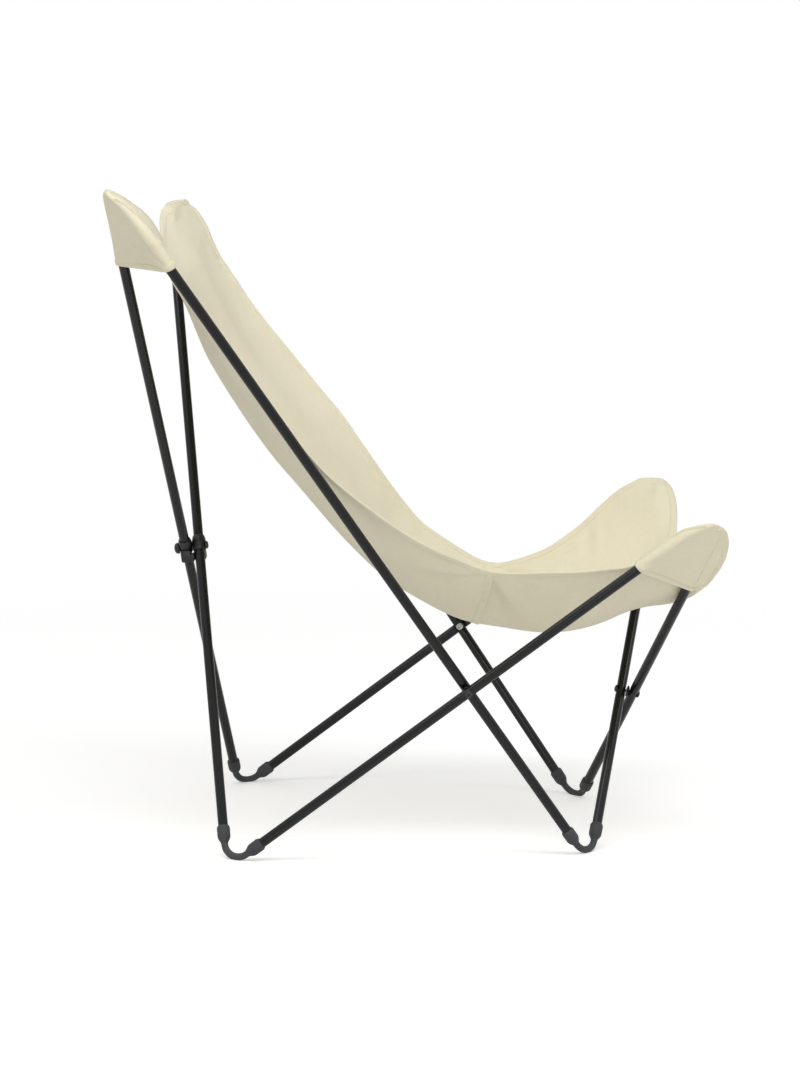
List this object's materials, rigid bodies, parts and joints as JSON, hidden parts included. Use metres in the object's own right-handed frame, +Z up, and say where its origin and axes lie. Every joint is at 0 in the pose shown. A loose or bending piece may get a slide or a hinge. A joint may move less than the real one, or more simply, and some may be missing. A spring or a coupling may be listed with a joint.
{
  "type": "butterfly sling chair",
  "caption": "Folding butterfly lounge chair: black steel tubes crossed in pairs on flexible moulded feet, with a canvas sling hung from the four top corners.",
  "frame": {"origin": "centre of the bounding box at floor level, under the seat", "axes": "+Z up, the chair faces -Y, so the right hand of the person sitting is on the -X side"},
  "size_m": [0.7654, 0.9392, 1.066],
  "materials": {
    "black_tube": "satin black powder coat",
    "black_hardware": "black coated rivets and pin",
    "black_plastic": "matte black moulded plastic",
    "elastomer": "matte dark grey moulded elastomer",
    "canvas": "ecru cotton canvas, plain weave, hemmed"
  },
  "bodies": {
    "back_pivot": {"back_hinge_pin": "black_hardware", "back_hinge_knob": "black_plastic"},
    "back_outer_tube": {"back_tube_outer": "black_tube", "back_tube_outer_cap": "black_plastic", "back_hinge_outer_half": "elastomer", "rear_left_foot": "elastomer"},
    "back_inner_tube": {"back_tube_inner": "black_tube", "back_tube_inner_cap": "black_plastic", "back_hinge_inner_half": "elastomer", "rear_right_foot": "elastomer"},
    "short_right_tube": {"short_side_tube_right": "black_tube", "short_side_tube_right_cap": "black_plastic", "right_side_rivet": "black_hardware", "right_side_spacer": "black_plastic"},
    "short_left_tube": {"short_side_tube_left": "black_tube", "short_side_tube_left_cap": "black_plastic", "left_side_rivet": "black_hardware", "left_side_spacer": "black_plastic"},
    "long_right_tube": {"long_side_tube_right": "black_tube", "long_side_tube_right_cap": "black_plastic", "front_right_foot": "elastomer"},
    "long_left_tube": {"long_side_tube_left": "black_tube", "long_side_tube_left_cap": "black_plastic", "front_left_foot": "elastomer"},
    "front_outer_tube": {"front_tube_outer": "black_tube", "front_tube_outer_cap": "black_plastic", "front_rivet": "black_hardware", "front_spacer": "black_plastic"},
    "front_inner_tube": {"front_tube_inner": "black_tube", "front_tube_inner_cap": "black_plastic", "front_rivet_tail": "black_hardware"},
    "back_sling": {"back_panel": "canvas", "back_pocket_right": "canvas", "back_pocket_left": "canvas"},
    "seat_sling": {"seat_panel": "canvas", "front_pocket_right": "canvas", "front_pocket_left": "canvas"}
  },
  "joints": [
    {"name": "back_pivot_outer", "type": "hinge", "parent": "back_pivot", "child": "back_outer_tube", "pos_m": [0.00169, 0.36126, 0.4598], "axis": [0.0431, 0.9887, -0.1439], "range_deg": [0, 25]},
    {"name": "back_pivot_inner", "type": "hinge", "parent": "back_pivot", "child": "back_inner_tube", "pos_m": [0.00169, 0.36126, 0.4598], "axis": [-0.0431, -0.9887, 0.1439], "range_deg": [0, 25.01]},
    {"name": "rear_right_foot_bend", "type": "hinge", "parent": "back_inner_tube", "child": "short_right_tube", "pos_m": [-0.24053, 0.27303, 0.02756], "axis": [-0.8645, 0.4906, -0.1088], "range_deg": [0, 62.98], "deforming": ["rear_right_foot"]},
    {"name": "rear_left_foot_bend", "type": "hinge", "parent": "back_outer_tube", "child": "short_left_tube", "pos_m": [0.24178, 0.27114, 0.03434], "axis": [-0.8536, -0.4836, 0.1937], "range_deg": [0, 67.37], "deforming": ["rear_left_foot"]},
    {"name": "right_side_pivot", "type": "hinge", "parent": "short_right_tube", "child": "long_right_tube", "pos_m": [-0.25131, -0.08574, 0.2793], "axis": [0.9894, 0.0766, 0.1235], "range_deg": [0, 76.14]},
    {"name": "left_side_pivot", "type": "hinge", "parent": "short_left_tube", "child": "long_left_tube", "pos_m": [0.25469, -0.08574, 0.2793], "axis": [0.9894, -0.0766, -0.1235], "range_deg": [0, 75.34]},
    {"name": "front_right_foot_bend", "type": "hinge", "parent": "long_right_tube", "child": "front_inner_tube", "pos_m": [-0.18306, -0.28408, 0.00523], "axis": [-0.697, -0.7004, 0.1537], "range_deg": [0, 55.04], "deforming": ["front_right_foot"]},
    {"name": "front_left_foot_bend", "type": "hinge", "parent": "long_left_tube", "child": "front_outer_tube", "pos_m": [0.17751, -0.27884, 0.03547], "axis": [-0.6921, 0.6631, -0.2853], "range_deg": [0, 56.53], "deforming": ["front_left_foot"]},
    {"name": "back_sling_swing", "type": "hinge", "parent": "long_right_tube", "child": "back_sling", "pos_m": [-0.3661, 0.39437, 0.97608], "axis": [0.9977, -0.0264, 0.0627], "range_deg": [0, 4.07], "deforming": ["back_panel", "back_pocket_right", "back_pocket_left"]},
    {"name": "seat_sling_swing", "type": "hinge", "parent": "short_right_tube", "child": "seat_sling", "pos_m": [-0.26618, -0.39342, 0.51459], "axis": [-0.9875, -0.0232, 0.1557], "range_deg": [0, 44], "deforming": ["seat_panel", "front_pocket_right", "front_pocket_left"]}
  ],
  "couplings": [
    {"joint": "back_pivot_inner", "follows": "back_pivot_outer", "ratio": 1},
    {"joint": "rear_right_foot_bend", "follows": "back_pivot_outer", "ratio": 2.5189},
    {"joint": "rear_left_foot_bend", "follows": "back_pivot_outer", "ratio": 2.6942},
    {"joint": "right_side_pivot", "follows": "back_pivot_outer", "ratio": 3.0452},
    {"joint": "left_side_pivot", "follows": "back_pivot_outer", "ratio": 3.0133},
    {"joint": "front_right_foot_bend", "follows": "back_pivot_outer", "ratio": 2.201},
    {"joint": "front_left_foot_bend", "follows": "back_pivot_outer", "ratio": 2.2608},
    {"joint": "back_sling_swing", "follows": "back_pivot_outer", "ratio": 0.1624},
    {"joint": "seat_sling_swing", "follows": "back_pivot_outer", "ratio": 1.7596}
  ]
}
